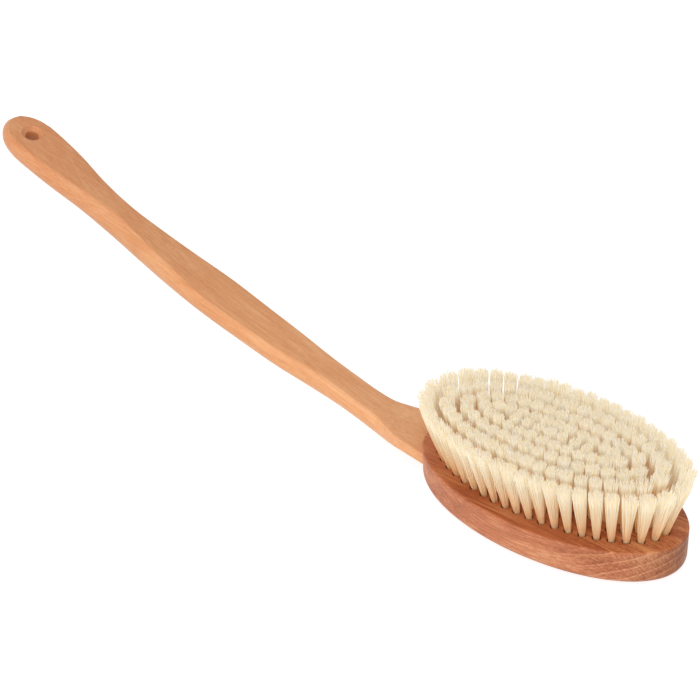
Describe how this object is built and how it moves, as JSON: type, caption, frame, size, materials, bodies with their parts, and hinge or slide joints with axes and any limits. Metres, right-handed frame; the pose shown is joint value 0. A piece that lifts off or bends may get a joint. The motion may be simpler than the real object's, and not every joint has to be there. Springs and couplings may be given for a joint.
{
  "type": "body dry brush",
  "caption": "Long-handled body brush: oval wooden head with bristle tufts in concentric ovals and a curved wooden handle that pushes into the head's end.",
  "frame": {"origin": "centre of the flat back of the head", "axes": "+Z out of the bristles, +X along the brush from the handle towards the head's free end, +Y across the head"},
  "size_m": [0.4453, 0.0712, 0.1139],
  "materials": {
    "head_wood": "oiled reddish-brown wood, satin",
    "handle_wood": "oiled light wood, satin",
    "bristle": "natural cream bristle",
    "anchor_wire": "plain flat wire"
  },
  "bodies": {
    "head": {"head_block": "head_wood", "tufts_row_1": "bristle", "tufts_row_2": "bristle", "tufts_row_3": "bristle", "tufts_row_4": "bristle", "tufts_centre": "bristle", "anchors_row_1": "anchor_wire", "anchors_row_2": "anchor_wire", "anchors_row_3": "anchor_wire", "anchors_row_4": "anchor_wire", "anchors_centre": "anchor_wire"},
    "handle": {"handle": "handle_wood"}
  },
  "joints": [
    {"name": "handle_pull", "type": "slide", "parent": "head", "child": "handle", "axis": [-0.9848, 0, 0.1736], "range_m": [0, 0.03]}
  ]
}
